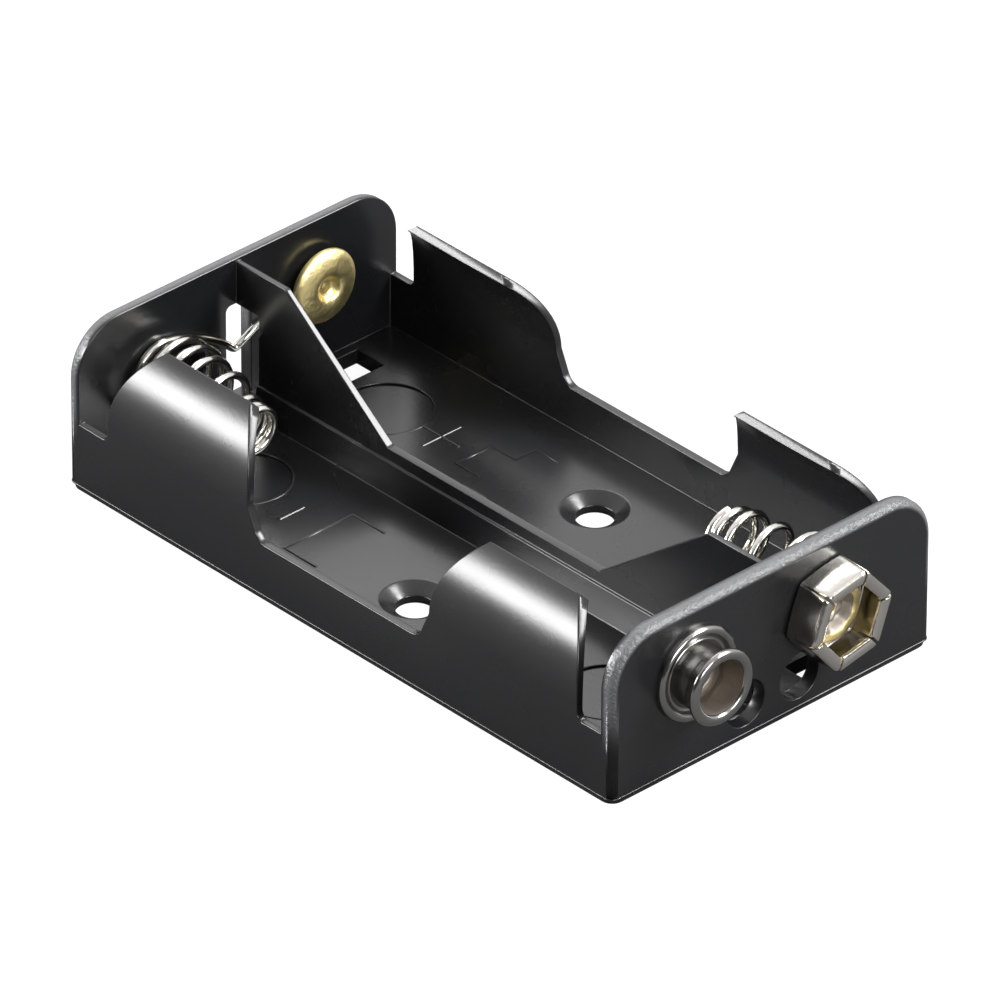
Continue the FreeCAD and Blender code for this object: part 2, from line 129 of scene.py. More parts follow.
# Raised lines on the floor of the lanes: outline of a cell, and the signs at its ends
NEAR_MARKS = (
    ((-6.9, -4.55), (-10.3, -4.55), (-10.3, -11.2), (-6.9, -11.2)),
    ((-13.4, -8.9), (-13.4, -6.5)),
    ((13.3, -8.9), (13.3, -6.5)),
    ((12.1, -7.7), (14.5, -7.7)),
)
FAR_MARKS = (
    ((-5.4, 4.03), (-7.75, 4.03), (-7.75, 5.6), (-10.25, 5.6), (-10.25, 9.15), (-7.75, 9.15),
     (-7.75, 11.2), (-5.4, 11.2)),
    ((-13.7, 5.4), (-13.7, 9.2)),
    ((-15.6, 7.3), (-11.8, 7.3)),
    ((13.0, 6.2), (13.0, 8.6)),
)


def linear(colour):
    """Linear RGBA of an sRGB hex colour."""
    parts = [int(colour[i:i + 2], 16) / 255 for i in (1, 3, 5)]
    return tuple(c / 12.92 if c <= 0.04045 else ((c + 0.055) / 1.055) ** 2.4 for c in parts) + (1,)


def add(tree, kind, links=None, **settings):
    """Node of a tree with its settings; links maps its input sockets to values or sockets."""
    node = tree.nodes.new(kind)
    for name, value in settings.items():
        setattr(node, name, value)
    for key, value in (links or {}).items():
        if isinstance(value, bpy.types.NodeSocket):
            tree.links.new(value, node.inputs[key])
        else:
            node.inputs[key].default_value = value
    return node


def new_material(name):
    """Material with one surface shader, its node tree, and the shader."""
    material = bpy.data.materials.new(name)
    material.use_nodes = True
    tree = material.node_tree
    tree.nodes.clear()
    shader = add(tree, "ShaderNodeBsdfPrincipled")
    add(tree, "ShaderNodeOutputMaterial", {"Surface": shader.outputs["BSDF"]})
    return material, tree, shader


def noise(tree, place, size, detail):
    """Noise whose lumps are about the given size in mm."""
    return add(tree, "ShaderNodeTexNoise", {
        "Vector": place, "Scale": 1 / (size * MM), "Detail": detail,
    })


def moulded_abs():
    """Black ABS from a polished mould: satin gloss, with a spark-eroded grain on the end walls,
    where the base colour is also painted lighter as a highlight.
    """
    material, tree, shader = new_material("moulded_abs")
    shader.inputs["IOR"].default_value = 1.54
    place = add(tree, "ShaderNodeTexCoord").outputs["Object"]
    parts = add(tree, "ShaderNodeSeparateXYZ", {0: place}).outputs
    reach = add(tree, "ShaderNodeMath", {0: parts["X"]}, operation="ABSOLUTE").outputs[0]
    # The grain and its painted highlight start on the outer skin of the end walls, past their
    # inner face.
    outside = add(tree, "ShaderNodeMapRange", {
        "Value": reach, "From Min": GRAIN_AND_HIGHLIGHT_START[0] * MM, "From Max": GRAIN_AND_HIGHLIGHT_START[1] * MM,
    }).outputs["Result"]
    # Both fade out towards the foot.
    height = add(tree, "ShaderNodeMapRange", {
        "Value": parts["Z"], "From Min": GRAIN_AND_HIGHLIGHT_HEIGHT[0] * MM, "From Max": GRAIN_AND_HIGHLIGHT_HEIGHT[1] * MM,
    }, interpolation_type="SMOOTHSTEP").outputs["Result"]
    upper = add(tree, "ShaderNodeMath", {0: outside, 1: height}, operation="MULTIPLY").outputs[0]
    # The grain is polished off where the face is flat and stays on the rounding round it; the
    # painted highlight follows it.
    normal = add(tree, "ShaderNodeNewGeometry").outputs["Normal"]
    across = add(tree, "ShaderNodeSeparateXYZ", {0: normal}).outputs["X"]
    flat = add(tree, "ShaderNodeMath", {0: across}, operation="ABSOLUTE").outputs[0]
    kept = add(tree, "ShaderNodeMapRange", {
        "Value": flat, "From Min": 0.9, "From Max": 0.999, "To Min": 1.0, "To Max": 0.0,
    }).outputs["Result"]
    grain_and_highlight = add(tree, "ShaderNodeMath", {0: upper, 1: kept}, operation="MULTIPLY").outputs[0]
    # Where the grain is, the base colour is painted a lighter grey, a painted highlight on the end
    # walls' top and rounding; the grain itself is the bump and roughness below.
    grain_highlight_colour = add(tree, "ShaderNodeMix", {
        0: grain_and_highlight, 6: linear("#121314"), 7: linear("#545556"),
    }, data_type="RGBA")
    tree.links.new(grain_highlight_colour.outputs[2], shader.inputs["Base Color"])
    grit = noise(tree, place, 0.27, 3.0)
    cloud = noise(tree, place, 7, 3.0)
    polished = add(tree, "ShaderNodeMapRange", {
        "Value": cloud.outputs["Fac"], "To Min": 0.22, "To Max": 0.32,
    })
    rough = add(tree, "ShaderNodeMapRange", {
        "Value": grain_and_highlight, "To Min": polished.outputs["Result"], "To Max": 0.34,
    })
    tree.links.new(rough.outputs["Result"], shader.inputs["Roughness"])
    depth = add(tree, "ShaderNodeMapRange", {"Value": grain_and_highlight, "To Min": 0.03, "To Max": 1.0})
    bump = add(tree, "ShaderNodeBump", {
        "Height": grit.outputs["Fac"], "Strength": depth.outputs["Result"], "Distance": 0.14 * MM,
    })
    tree.links.new(bump.outputs["Normal"], shader.inputs["Normal"])
    return material


def plated_metal(name, colour, smooth, hazy, peel_size, peel_depth):
    """Metal with a wandering haze and a soft orange peel, as tumbled pressings have."""
    material, tree, shader = new_material(name)
    shader.inputs["Base Color"].default_value = linear(colour)
    shader.inputs["Metallic"].default_value = 1.0
    place = add(tree, "ShaderNodeTexCoord").outputs["Object"]
    haze = noise(tree, place, 1.2, 4.0)
    rough = add(tree, "ShaderNodeMapRange", {
        "Value": haze.outputs["Fac"], "To Min": smooth, "To Max": hazy,
    })
    tree.links.new(rough.outputs["Result"], shader.inputs["Roughness"])
    peel = noise(tree, place, peel_size, 2.0)
    bump = add(tree, "ShaderNodeBump", {
        "Height": peel.outputs["Fac"], "Strength": 0.4, "Distance": peel_depth * MM,
    })
    tree.links.new(bump.outputs["Normal"], shader.inputs["Normal"])
    return material


def link_object(name, mesh, material):
    """Object of the scene from a mesh, with the material in the mesh's next slot."""
    obj = bpy.data.objects.new(name, mesh)
    bpy.context.scene.collection.objects.link(obj)
    mesh.materials.append(material)
    return obj


def applied(obj):
    """The object with its modifiers turned into plain mesh."""
    bpy.context.view_layer.update()
    graph = bpy.context.evaluated_depsgraph_get()
    mesh = bpy.data.meshes.new_from_object(obj.evaluated_get(graph))
    obj.modifiers.clear()
    obj.data = mesh
    return obj


def shade_curl(mesh):
    """Give the curled tabs the normals of true cylinders, so that gloss runs along them evenly."""
    normals = [Vector(corner.vector) for corner in mesh.corner_normals]
    for face in mesh.polygons:
        for corner in face.loop_indices:
            point = mesh.vertices[mesh.loops[corner].vertex_index].co / MM
            side = math.copysign(1, point.y)
            spoke = Vector((0, point.y - side * CURL_AXIS[0], point.z - CURL_AXIS[1]))
            if spoke.z < -GAP / 2 or spoke.y * side < 0:
                continue
            for radius, way in zip(CURL_RADII, (1, -1)):
                normal = spoke.normalized() * way
                if abs(spoke.length - radius) < CURL_GAP and normal.dot(face.normal) > 0.99:
                    normals[corner] = normal
    mesh.normals_split_custom_set(normals)


def at_tip(point):
    """Whether a point in mm is at the tip of a tab."""
    inner, outer = TIP_SPAN
    return point.z > TIP_FOOT and inner < abs(point.y) < outer and abs(point.x) < TIP_LENGTH


def edge_round(edge):
    """How far an edge of the tray is rounded, by where it lies."""
    points = [vert.co / MM for vert in edge.verts]
    if all(abs(p.z - STEP_HEIGHT) < GAP for p in points):
        return 0
    if all(at_tip(p) for p in points) and edge.calc_length() < TIP_EDGE:
        return 0
    if all(abs(p.z - FILLET_TOP) < GAP and abs(p.x) > FILLET_START for p in points):
        return 0
    if all(FLOOR_TOP - DISC_DEPTH < p.z < FLOOR_TOP + GAP / 2 for p in points):
        for x0, y0 in DISC_MARKS:
            reach = [math.hypot(p.x - x0, p.y - y0) for p in points]
            if all(abs(r - DISC_RADIUS) < DISC_GAP for r in reach):
                return DISC_ROUND
    return EDGE_ROUND


def lean_tab_tips(work):
    """Lay the edge face of each tab's tip back a little, as the mould leaves it."""
    for vert in work.verts:
        point = vert.co / MM
        spoke = Vector((0, abs(point.y) - CURL_AXIS[0], point.z - CURL_AXIS[1]))
        turn = math.degrees(math.atan2(spoke.z, spoke.y))
        on_inner_face = abs(spoke.length - CURL_RADII[1]) < CURL_GAP
        if on_inner_face and abs(turn - CURL_ANGLE) < TIP_GAP:
            angle = math.radians(turn + TIP_LEAN)
            y = CURL_AXIS[0] + spoke.length * math.cos(angle)
            z = CURL_AXIS[1] + spoke.length * math.sin(angle)
            vert.co = Vector((point.x, math.copysign(y, point.y), z)) * MM


def rounded_tray(node, material):
    """Copy of the tray's solid with every moulded edge softly rounded."""
    mesh = node.data.copy()
    mesh.materials.clear()
    work = bmesh.new()
    work.from_mesh(mesh)
    bmesh.ops.remove_doubles(work, verts=work.verts, dist=WELD)
    bmesh.ops.dissolve_limit(
        work, angle_limit=math.radians(FLAT_ANGLE), verts=work.verts, edges=work.edges
    )
    tips = [vert for vert in work.verts if at_tip(vert.co / MM)]
    bmesh.ops.remove_doubles(work, verts=tips, dist=TIP_WELD)
    lean_tab_tips(work)
    weights = work.edges.layers.float.new("bevel_weight_edge")
    for edge in work.edges:
        if edge.calc_face_angle(0) > math.radians(EDGE_ANGLE):
            edge[weights] = edge_round(edge) / EDGE_ROUND
    work.to_mesh(mesh)
    work.free()
    mesh.shade_smooth()
    tray = link_object("tray", mesh, material)
    bevel = tray.modifiers.new("edges", "BEVEL")
    bevel.width = EDGE_ROUND
    bevel.segments = 3
    bevel.limit_method = "WEIGHT"
    bevel.use_clamp_overlap = False
    flat = tray.modifiers.new("flat_faces", "WEIGHTED_NORMAL")
    flat.mode = "FACE_AREA"
    flat.weight = 100
    tray = applied(tray)
    shade_curl(tray.data)
    return tray


def round_wire_tree():
    """Geometry nodes that turn a path into round wire with closed ends."""
    tree = bpy.data.node_groups.new("round_wire", "GeometryNodeTree")
    sockets = tree.interface
    sockets.new_socket("Path", in_out="INPUT", socket_type="NodeSocketGeometry")
    sockets.new_socket("Wire radius", in_out="INPUT", socket_type="NodeSocketFloat")
    sockets.new_socket("Sides", in_out="INPUT", socket_type="NodeSocketInt")
    sockets.new_socket("Finish", in_out="INPUT", socket_type="NodeSocketMaterial")
    sockets.new_socket("Wire", in_out="OUTPUT", socket_type="NodeSocketGeometry")
    given = add(tree, "NodeGroupInput").outputs
    profile = add(tree, "GeometryNodeCurvePrimitiveCircle", {
        "Resolution": given["Sides"], "Radius": given["Wire radius"],
    })
    tube = add(tree, "GeometryNodeCurveToMesh", {
        "Curve": given["Path"], "Profile Curve": profile.outputs["Curve"], "Fill Caps": True,
    })
    smooth = add(tree, "GeometryNodeSetShadeSmooth", {"Geometry": tube.outputs["Mesh"]})
    real = add(tree, "GeometryNodeRealizeInstances", {"Geometry": smooth.outputs["Geometry"]})
    finish = add(tree, "GeometryNodeSetMaterial", {
        "Geometry": real.outputs["Geometry"], "Material": given["Finish"],
    })
    add(tree, "NodeGroupOutput", {"Wire": finish.outputs["Geometry"]})
    return tree


def run_tree(obj, tree, values):
    """Object's geometry after the tree, with the tree's named inputs set, as plain mesh."""
    modifier = obj.modifiers.new(tree.name, "NODES")
    modifier.node_group = tree
    for item in tree.interface.items_tree:
        if item.in_out == "INPUT" and item.name in values:
            modifier[item.identifier] = values[item.name]
    bpy.context.view_layer.update()
    graph = bpy.context.evaluated_depsgraph_get()
    mesh = bpy.data.meshes.new_from_object(obj.evaluated_get(graph))
    source = obj.data
    name = obj.name
    bpy.data.objects.remove(obj)
    if isinstance(source, bpy.types.Curve):
        bpy.data.curves.remove(source)
    else:
        bpy.data.meshes.remove(source)
    made = bpy.data.objects.new(name, mesh)
    bpy.context.scene.collection.objects.link(made)
    return made


def path_curve(name, runs, closed=False):
    """Curve object with one straight-run spline for each list of points, given in mm."""
    curve = bpy.data.curves.new(name, "CURVE")
    curve.dimensions = "3D"
    for points in runs:
        spline = curve.splines.new("POLY")
        spline.points.add(len(points) - 1)
        for knot, point in zip(spline.points, points):
            knot.co = (*(Vector(point) * MM), 1)
        spline.use_cyclic_u = closed
    obj = bpy.data.objects.new(name, curve)
    bpy.context.scene.collection.objects.link(obj)
    return obj


def smooth_run(points, steps):
    """Points on a smooth curve through the given ones."""
    made = []
    ends = [points[0] * 2 - points[1]] + points + [points[-1] * 2 - points[-2]]
    for before, start, stop, after in zip(ends, ends[1:], ends[2:], ends[3:]):
        for step in range(steps):
            t = step / steps
            made.append(0.5 * (
                2 * start + (stop - before) * t
                + (2 * before - 5 * start + 4 * stop - after) * t * t
                + (3 * start - before - 3 * stop + after) * t ** 3
            ))
    return made + [points[-1]]


def turn_value(values, turn):
    """Value part way between whole turns, changing smoothly."""
    index = min(int(turn), len(values) - 2)
    part = turn - index
    before, after = values[max(index - 1, 0)], values[min(index + 2, len(values) - 1)]
    start, stop = values[index], values[index + 1]
    return 0.5 * (
        2 * start + (stop - before) * part
        + (2 * before - 5 * start + 4 * stop - after) * part ** 2
        + (3 * start - before - 3 * stop + after) * part ** 3
    )


def coil_path(spring):
    """Points of a conical spring from its free tip to the end wall."""
    planes = [0]
    for pitch in spring["pitches"]:
        planes.append(planes[-1] + pitch)
    y0, z0 = spring["centre"]
    points = []
    turns = len(spring["pitches"])
    for step in range(turns * STEPS_PER_TURN + 1):
        turn = step / STEPS_PER_TURN
        x = spring["seat"] + spring["side"] * (turn_value(planes, turn) - planes[-1])
        radius = turn_value(spring["radii"], turn)
        angle = math.radians(90 + spring["turn_way"] * 360 * turn)
        points.append(Vector((x, y0 + radius * math.cos(angle), z0 + radius * math.sin(angle))))
    return points


def link_spring_path():
    """Link spring with its tail through the wire slot and round the link rivet."""
    points = coil_path(LINK_SPRING)
    x = LINK_SPRING["seat"]
    loop = []
    steps = LINK_LOOP_TURN // LOOP_STEP
    for step in range(steps + 1):
        angle = math.radians(LINK_LOOP_START - LINK_LOOP_TURN * step / steps)
        y = LINK_RIVET[0] + SHANK_LOOP * math.cos(angle)
        z = LINK_RIVET[1] + SHANK_LOOP * math.sin(angle)
        loop.append(Vector((x, y, z)))
    tail = [Vector((x, y, z)) for y, z in LINK_TAIL]
    return points + smooth_run([points[-1]] + tail + [loop[0]], TAIL_STEPS)[1:-1] + loop


def socket_spring_path():
    """Socket spring; its last coil closes in and hooks round the socket's rivet."""
    points = coil_path(SOCKET_SPRING)
    y0, z0 = SOCKET_SPRING["centre"]
    base = SOCKET_SPRING["radii"][-1]
    steps = SOCKET_HOOK_TURN // LOOP_STEP
    for step in range(1, steps + 1):
        turned_by = SOCKET_HOOK_TURN * step / steps
        blend = min(1, turned_by / HOOK_BLEND)
        angle = math.radians(90 + turned_by)
        radius = base + (SOCKET_HOOK_LOOP - base) * blend
        y = y0 + (SOCKET[0] - y0) * blend + radius * math.cos(angle)
        z = z0 + (SOCKET[1] - z0) * blend + radius * math.sin(angle)
        points.append(Vector((SOCKET_SPRING["seat"], y, z)))
    return points


def lathe(name, profile, centre, materials, steps=96, ripple=None, second=None):
    """Turned piece about an X axis: profile holds (x, radius) in mm, closed or from axis to axis.

    second tells by a face's middle (x, radius) whether it takes the second material.
    """
    work = bmesh.new()
    rings = []
    for x, radius in profile:
        ring = []
        for step in range(steps if radius > 1e-4 else 1):
            angle = 2 * math.pi * step / steps
            offset = ripple(x, radius, angle) if ripple else 0
            y = centre[0] + radius * math.cos(angle)
            point = Vector((x + offset, y, centre[1] + radius * math.sin(angle)))
            ring.append(work.verts.new(point * MM))
        rings.append(ring)
    closed = profile[0][1] > 1e-4
    pairs = list(zip(rings, rings[1:])) + ([(rings[-1], rings[0])] if closed else [])
    for first, following in pairs:
        for step in range(steps):
            loop = []
            for vert in (
                first[step % len(first)], first[(step + 1) % len(first)],
                following[(step + 1) % len(following)], following[step % len(following)],
            ):
                if vert not in loop:
                    loop.append(vert)
            if len(loop) > 2:
                face = work.faces.new(loop)
                middle = face.calc_center_median() / MM
                reach = math.hypot(middle.y - centre[0], middle.z - centre[1])
                if second and second(middle.x, reach):
                    face.material_index = 1
    bmesh.ops.recalc_face_normals(work, faces=work.faces)
    mesh = bpy.data.meshes.new(name)
    work.to_mesh(mesh)
    work.free()
    mesh.shade_smooth()
    turned = link_object(name, mesh, materials[0])
    for material in materials[1:]:
        turned.data.materials.append(material)
    return turned


def rounded_profile(points, steps=4):
    """Profile with its corners eased, as pressed sheet has them."""
    knots = [Vector((x, radius, 0)) for x, radius in points]
    return [(p.x, max(p.y, 0)) for p in smooth_run(knots, steps)]


def crumple(radius, angle):
    """Folds that the press leaves in a contact's dome, deepest half way to its edge."""
    start, stop = FOLD_SPAN
    if not start < radius < stop:
        return 0
    window = math.sin(math.pi * (radius - start) / (stop - start)) ** 2
    broad = math.sin(5 * angle + 2.2 * radius) * math.sin(3 * angle + 1.1)
    return FOLD_HEIGHT * window * (broad + 0.5 * math.sin(17 * angle + 3 * radius))


def contact_rivet(name, centre, seat, outside, way, materials, dull=None):
    """Contact of pressed brass: domed head with a dimple in the lane, rolled end outside."""
    head = (
        (0, 1.2), (0, 2.8), (0.08, 2.96), (0.2, HEAD_RADIUS), (0.42, 2.9), (0.66, 2.5),
        (0.83, 1.95), (0.89, 1.5), (0.8, 1.12), (0.52, 0.84), (0.34, 0.6), (0.3, 0.4),
        (0.37, 0.16), (0.4, 0),
    )
    lane_side = [(seat + way * x, radius) for x, radius in rounded_profile(head)]
    roll = (
        (0, SHANK_RADIUS), (0, 1.7), (-0.12, 1.8), (-0.3, 1.76), (-0.42, 1.5), (-0.44, 1.2),
        (-0.36, 0.95), (-0.1, 0.85), (0.1, 0.5), (0.12, 0),
    )
    outer_side = [(outside + way * x, radius) for x, radius in rounded_profile(roll)]
    front = seat + way * 0.15

    def on_head(x, radius, angle):
        return crumple(radius, angle) if (x - front) * way > 0 else 0

    profile = outer_side[::-1] + lane_side
    return lathe(name, profile, centre, materials, ripple=on_head, second=dull)


def stud_profile():
    """Hollow stud: dished flange, waisted neck and a rolled rim round the bore."""
    outline = (
        (0, 1.35), (0, 3.5), (0.1, 3.7), (0.32, 3.74), (0.52, 3.6), (0.6, 3.34), (0.5, 3.12),
        (0.25, 2.98), (0.12, 2.8), (0.2, 2.58), (0.8, 2.47), (1.5, 2.46), (1.95, 2.56),
        (2.28, 2.8), (2.52, 2.95), (2.72, 2.97), (2.9, 2.86), (2.99, 2.62), (2.97, 2.36),
        (2.85, 2.19), (2.6, 2.12), (1.8, 2.1), (0.7, 2.08), (0.36, 1.98), (SHEET, 1.75),
        (SHEET, 1.35),
    )
    return [(OUTER_WALL + x, radius) for x, radius in rounded_profile(outline, 3)]


def petal_mesh():
    """One folded side of the socket, standing along X with its flat towards +Z."""
    outer = (
        (0.05, 3.38), (0.2, 3.5), (2.55, 3.5), (2.78, 3.46), (2.93, 3.34), (2.99, 3.12),
        (2.96, 2.82), (2.86, 2.52),
    )
    inner = (
        (2.6, 2.48), (2.68, 2.82), (2.71, 3.04), (2.66, 3.17), (2.5, 3.22), (0.35, 3.22),
        (0.28, 3.1), (0.05, 3.1),
    )
    section = outer + inner
    across = [-1, -0.93, -0.75, -0.5, -0.25, 0, 0.25, 0.5, 0.75, 0.93, 1]
    work = bmesh.new()
    rows = []
    for x, radius in section:
        slit = PETAL_SLIT if x > 0.6 else 0
        half = radius * math.tan(math.pi / PETAL_COUNT) - slit
        # The sheet rolls back a little where the shear cut its edges.
        row = []
        for share in across:
            drop = 0.06 if abs(share) == 1 else 0
            crown = 0.13 * (1 - share * share) * max(0, 1 - (x / 2.6) ** 2)
            row.append(work.verts.new(Vector((x, half * share, radius - drop + crown)) * MM))
        rows.append(row)
    for first, following in zip(rows, rows[1:] + rows[:1]):
        for i in range(len(across) - 1):
            work.faces.new((first[i], first[i + 1], following[i + 1], following[i]))
    for i in (0, len(across) - 1):
        work.faces.new([row[i] for row in rows])
    bmesh.ops.recalc_face_normals(work, faces=work.faces)
    mesh = bpy.data.meshes.new("petal")
    work.to_mesh(mesh)
    work.free()
    return mesh


def petal_ring_tree():
    """Geometry nodes that ring copies of a petal round an X axis and move them to its centre."""
    tree = bpy.data.node_groups.new("petal_ring", "GeometryNodeTree")
    sockets = tree.interface
    sockets.new_socket("Petal", in_out="INPUT", socket_type="NodeSocketGeometry")
    sockets.new_socket("Count", in_out="INPUT", socket_type="NodeSocketInt")
    sockets.new_socket("First turn", in_out="INPUT", socket_type="NodeSocketFloat")
    sockets.new_socket("Centre", in_out="INPUT", socket_type="NodeSocketVector")
    sockets.new_socket("Finish", in_out="INPUT", socket_type="NodeSocketMaterial")
    sockets.new_socket("Ring", in_out="OUTPUT", socket_type="NodeSocketGeometry")
    given = add(tree, "NodeGroupInput").outputs
    points = add(tree, "GeometryNodePoints", {"Count": given["Count"]})
    step = add(tree, "ShaderNodeMath", {0: 2 * math.pi, 1: given["Count"]}, operation="DIVIDE")
    index = add(tree, "GeometryNodeInputIndex")
    turn = add(tree, "ShaderNodeMath", {
        0: index.outputs[0], 1: step.outputs[0], 2: given["First turn"],
    }, operation="MULTIPLY_ADD")
    facing = add(tree, "FunctionNodeAxisAngleToRotation", {
        "Axis": (1, 0, 0), "Angle": turn.outputs[0],
    })
    ring = add(tree, "GeometryNodeInstanceOnPoints", {
        "Points": points.outputs[0], "Instance": given["Petal"], "Rotation": facing.outputs[0],
    })
    placed = add(tree, "GeometryNodeTransform", {
        "Geometry": ring.outputs[0], "Translation": given["Centre"],
    })
    real = add(tree, "GeometryNodeRealizeInstances", {"Geometry": placed.outputs["Geometry"]})
    finish = add(tree, "GeometryNodeSetMaterial", {
        "Geometry": real.outputs["Geometry"], "Material": given["Finish"],
    })
    add(tree, "NodeGroupOutput", {"Ring": finish.outputs["Geometry"]})
    return tree


def joined(name, pieces, material):
    """One mesh of several pieces that share a material."""
    work = bmesh.new()
    for piece in pieces:
        work.from_mesh(piece.data)
        bpy.data.objects.remove(piece)
    mesh = bpy.data.meshes.new(name)
    work.to_mesh(mesh)
    work.free()
    return link_object(name, mesh, material)


def snap_socket(material):
    """Six petals with rolled lips on a flat base."""
    source = link_object("petals", petal_mesh(), material)
    edges = source.modifiers.new("edges", "BEVEL")
    edges.width = PETAL_ROUND
    edges.segments = 2
    edges.limit_method = "ANGLE"
    edges.angle_limit = math.radians(40)
    source = applied(source)
    ring = run_tree(source, petal_ring_tree(), {
        "Count": PETAL_COUNT, "First turn": math.radians(SOCKET_TURN),
        "Centre": Vector((OUTER_WALL, *SOCKET)) * MM, "Finish": material,
    })
    base = ((0, 0.95), (0, 3.3), (0.28, 3.3), (0.28, 0.95))
    base = lathe("base", [(OUTER_WALL + x, r) for x, r in base], SOCKET, [material], 48)
    for mesh in (ring.data, base.data):
        mesh.shade_smooth()
        mesh.set_sharp_from_angle(angle=math.radians(35))
    return joined("socket", [ring, base], material)


def socket_rivet(materials):
    """Brass rivet of the socket: head on the spring's hook, split roll inside the petals.

    The second material is that of the hollow in the middle of the roll.
    """
    seat = INNER_WALL - 2 * WIRE_RADIUS
    head = (
        (-0.62, 0), (-0.62, 0.9), (-0.5, 1.45), (-0.25, 1.72), (0, 1.72), (0, 0.9),
    )
    roll = (
        (SHEET, 0.9), (SHEET, 2.2), (0.5, 2.45), (0.95, 2.5), (1.15, 2.25), (1.05, 1.8),
        (0.6, 1.4), (0.25, 1.0), (0.15, 0),
    )
    outline = [(seat + x, radius) for x, radius in head]
    outline += [(OUTER_WALL + x, radius) for x, radius in roll]

    def splits(x, radius, angle):
        if x < OUTER_WALL + 0.35 or radius < 0.8:
            return 0
        return 0.09 * math.sin(5 * angle) * math.sin(3 * angle + 1)

    return lathe(
        "socket_contact", rounded_profile(outline, 3), SOCKET, materials, 72, ripple=splits,
        second=lambda x, radius: x > OUTER_WALL and radius < HOLLOW_RADIUS,
    )


def floor_marks(tree, material):
    """Low raised lines that the mould leaves on the floor of the lanes."""
    height = FLOOR_TOP - MARK_SINK
    runs = [[(x, y, height) for x, y in run] for run in NEAR_MARKS + FAR_MARKS]
    return run_tree(path_curve("floor_marks", runs), tree, {
        "Wire radius": MARK_RADIUS * MM, "Sides": 10, "Finish": material,
    })


def disc_rims(tree, material):
    """Fine rims round the ejector marks."""
    height = FLOOR_TOP - DISC_SINK
    angles = [2 * math.pi * step / 64 for step in range(64)]
    ring = [(DISC_RADIUS * math.cos(a), DISC_RADIUS * math.sin(a)) for a in angles]
    runs = [[(x0 + x, y0 + y, height) for x, y in ring] for x0, y0 in DISC_MARKS]
    return run_tree(path_curve("disc_rims", runs, closed=True), tree, {
        "Wire radius": DISC_RIM * MM, "Sides": 8, "Finish": material,
    })


def parting_line(tree, material):
    """Fine bead round the foot of the tray."""
    reach_x, reach_y, corner = FOOT
    path = []
    for quarter, (sx, sy) in enumerate(((1, 1), (-1, 1), (-1, -1), (1, -1))):
        for step in range(7):
            angle = math.radians(90 * quarter + 15 * step)
            path.append((
                sx * (reach_x - corner) + corner * math.cos(angle),
                sy * (reach_y - corner) + corner * math.sin(angle), PARTING_HEIGHT,
            ))
    return run_tree(path_curve("parting_line", [path], closed=True), tree, {
        "Wire radius": PARTING_RADIUS * MM, "Sides": 8, "Finish": material,
    })


def settled(piece, node):
    """Let a piece stand in for a node of the CAD model."""
    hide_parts(node)
    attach(piece, "root")


def place_camera():
    """Camera that sees the part as the photograph shows it."""
    azimuth, elevation, roll = (
        math.radians(v) for v in (CAMERA_AZIMUTH, CAMERA_ELEVATION, CAMERA_ROLL)
    )
    back = Vector((
        math.sin(azimuth) * math.cos(elevation),
        -math.cos(azimuth) * math.cos(elevation),
        math.sin(elevation),
    ))
    right = Vector((math.cos(azimuth), math.sin(azimuth), 0))
    up = back.cross(right)
    turned_right = right * math.cos(roll) + up * math.sin(roll)
    turned_up = up * math.cos(roll) - right * math.sin(roll)
    data = bpy.data.cameras.new("camera")
    data.lens = CAMERA_LENS
    data.sensor_width = 36
    data.clip_start = 0.05
    data.clip_end = 50
    camera = bpy.data.objects.new("camera", data)
    bpy.context.scene.collection.objects.link(camera)
    turn = Matrix((turned_right, turned_up, back)).transposed().to_4x4()
    camera.matrix_world = Matrix.Translation(CAMERA_TARGET + back * CAMERA_DISTANCE) @ turn
    bpy.context.scene.camera = camera


def soft_lamp(name, direction, along, distance, size, power):
    """Lamp box of the given size, that far off in a direction, facing the part."""
    data = bpy.data.lights.new(name, "AREA")
    data.shape = "RECTANGLE"
    data.size, data.size_y = size
    data.energy = power
    lamp = bpy.data.objects.new(name, data)
    bpy.context.scene.collection.objects.link(lamp)
    away = Vector(direction).normalized()
    lamp.location = away * distance
    side = Vector(along) - away * away.dot(Vector(along))
    side.normalize()
    lamp.rotation_mode = "QUATERNION"
    lamp.rotation_quaternion = Matrix((side, away.cross(side), away)).transposed().to_quaternion()


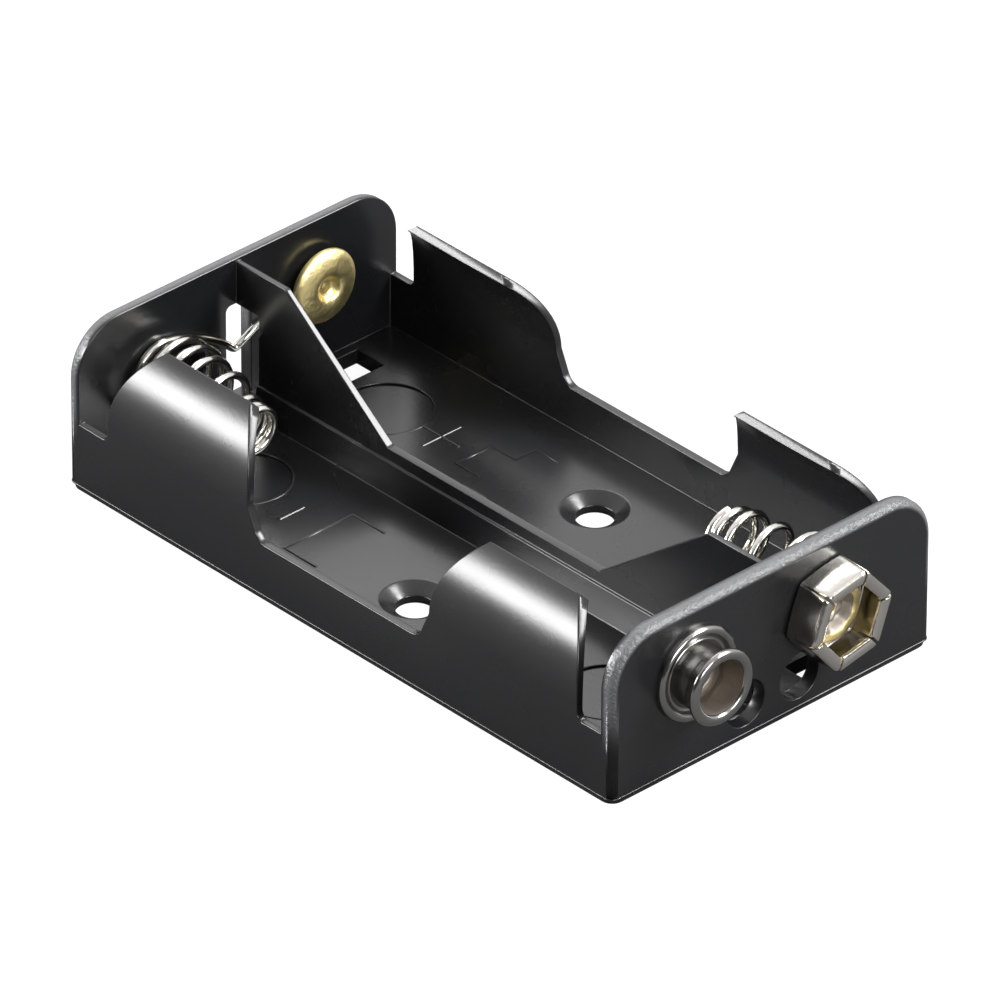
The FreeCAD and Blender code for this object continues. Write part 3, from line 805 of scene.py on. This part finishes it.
def studio():
    """White backdrop behind and to the left, a dim room in front, and soft boxes for the gloss."""
    world = bpy.data.worlds.new("white_room")
    world.use_nodes = True
    tree = world.node_tree
    tree.nodes.clear()
    path = add(tree, "ShaderNodeLightPath")
    towards = add(tree, "ShaderNodeTexCoord").outputs["Generated"]
    facing = add(tree, "ShaderNodeVectorMath", {
        0: towards, 1: BACKDROP_SIDE,
    }, operation="DOT_PRODUCT")
    glow = add(tree, "ShaderNodeMapRange", {
        "Value": facing.outputs["Value"], "From Min": -0.35, "From Max": 0.55,
        "To Min": 0.07, "To Max": 1.1,
    }, interpolation_type="SMOOTHSTEP")
    room = add(tree, "ShaderNodeBackground", {
        "Color": linear("#ffffff"), "Strength": glow.outputs["Result"],
    })
    white = add(tree, "ShaderNodeBackground", {"Color": linear("#ffffff"), "Strength": 1.0})
    mix = add(tree, "ShaderNodeMixShader", {
        0: path.outputs["Is Camera Ray"], 1: room.outputs[0], 2: white.outputs[0],
    })
    add(tree, "ShaderNodeOutputWorld", {"Surface": mix.outputs[0]})
    bpy.context.scene.world = world
    material, tree, shader = new_material("white_floor")
    shader.inputs["Base Color"].default_value = linear("#585858")
    shader.inputs["Roughness"].default_value = 0.9
    path = add(tree, "ShaderNodeLightPath")
    # The camera sees the floor nearly as white as the backdrop, with its shadow kept.
    lift = add(tree, "ShaderNodeMath", {
        0: path.outputs["Is Camera Ray"], 1: 0.93,
    }, operation="MULTIPLY")
    shader.inputs["Emission Color"].default_value = linear("#ffffff")
    tree.links.new(lift.outputs[0], shader.inputs["Emission Strength"])
    mesh = bpy.data.meshes.new("floor")
    reach = 3.0
    mesh.from_pydata(
        [(-reach, -reach, 0), (reach, -reach, 0), (reach, reach, 0), (-reach, reach, 0)],
        [], [(0, 1, 2, 3)],
    )
    floor = link_object("floor", mesh, material)
    for box in SOFT_BOXES:
        soft_lamp(*box)


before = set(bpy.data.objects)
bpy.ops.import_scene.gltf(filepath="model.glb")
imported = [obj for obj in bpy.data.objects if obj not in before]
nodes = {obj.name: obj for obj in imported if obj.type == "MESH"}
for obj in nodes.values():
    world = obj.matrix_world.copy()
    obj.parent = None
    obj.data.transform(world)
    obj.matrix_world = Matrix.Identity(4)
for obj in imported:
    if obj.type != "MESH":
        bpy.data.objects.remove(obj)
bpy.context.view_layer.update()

plastic = moulded_abs()
# Bright nickel over pressed steel: slightly warm, mirror-like with a fine haze.
nickel = plated_metal("nickel_plate", "#d2cec7", 0.1, 0.2, 0.6, 0.02)
# The stud takes a darker grey copy of the nickel, a little rougher: painted shade that makes it
# read duller than the socket, with bright lines at its rolled edges.
shaded_nickel = plated_metal("shaded_nickel", "#949391", 0.14, 0.26, 0.6, 0.02)
# Bright nickel on drawn wire, a little lighter and smoother than on the pressings.
wire_finish = plated_metal("nickel_wire", "#d9d6d0", 0.1, 0.2, 0.4, 0.006)
# Pressed brass: yellow, with a soft orange peel from tumbling.
brass = plated_metal("pressed_brass", "#f3e1a2", 0.34, 0.5, 0.35, 0.1)
# Inside the stud the sheet was never plated, and is dull and brown.
dull = plated_metal("dull_bore", "#978f86", 0.42, 0.58, 0.35, 0.08)

settled(rounded_tray(nodes["housing"], plastic), "housing")

wire = round_wire_tree()
for name, path in (
    ("link_spring", link_spring_path()),
    ("socket_spring", socket_spring_path()),
):
    spring = run_tree(path_curve(name + "_wire", [path]), wire, {
        "Wire radius": WIRE_RADIUS * MM, "Sides": 20, "Finish": wire_finish,
    })
    settled(spring, name)

for detail in (floor_marks(wire, plastic), disc_rims(wire, plastic), parting_line(wire, plastic)):
    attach(detail, "root")

stud = lathe(
    "stud", stud_profile(), STUD, [shaded_nickel, dull],
    second=lambda x, radius: radius < 2.16 and x < OUTER_WALL + 2.7,
)
settled(stud, "stud_terminal")
settled(snap_socket(nickel), "socket_terminal")
settled(socket_rivet([brass, dull]), "socket_rivet")
settled(
    contact_rivet(
        "link_contact", LINK_RIVET, -INNER_WALL + 2 * WIRE_RADIUS, POCKET - OUTER_WALL, 1, [brass],
    ),
    "link_rivet",
)
settled(
    contact_rivet(
        "stud_contact", STUD, INNER_WALL, OUTER_WALL + SHEET, -1, [brass, dull],
        dull=lambda x, radius: x > OUTER_WALL,
    ),
    "stud_rivet",
)

place_camera()
studio()
bpy.context.scene.view_settings.view_transform = "Standard"
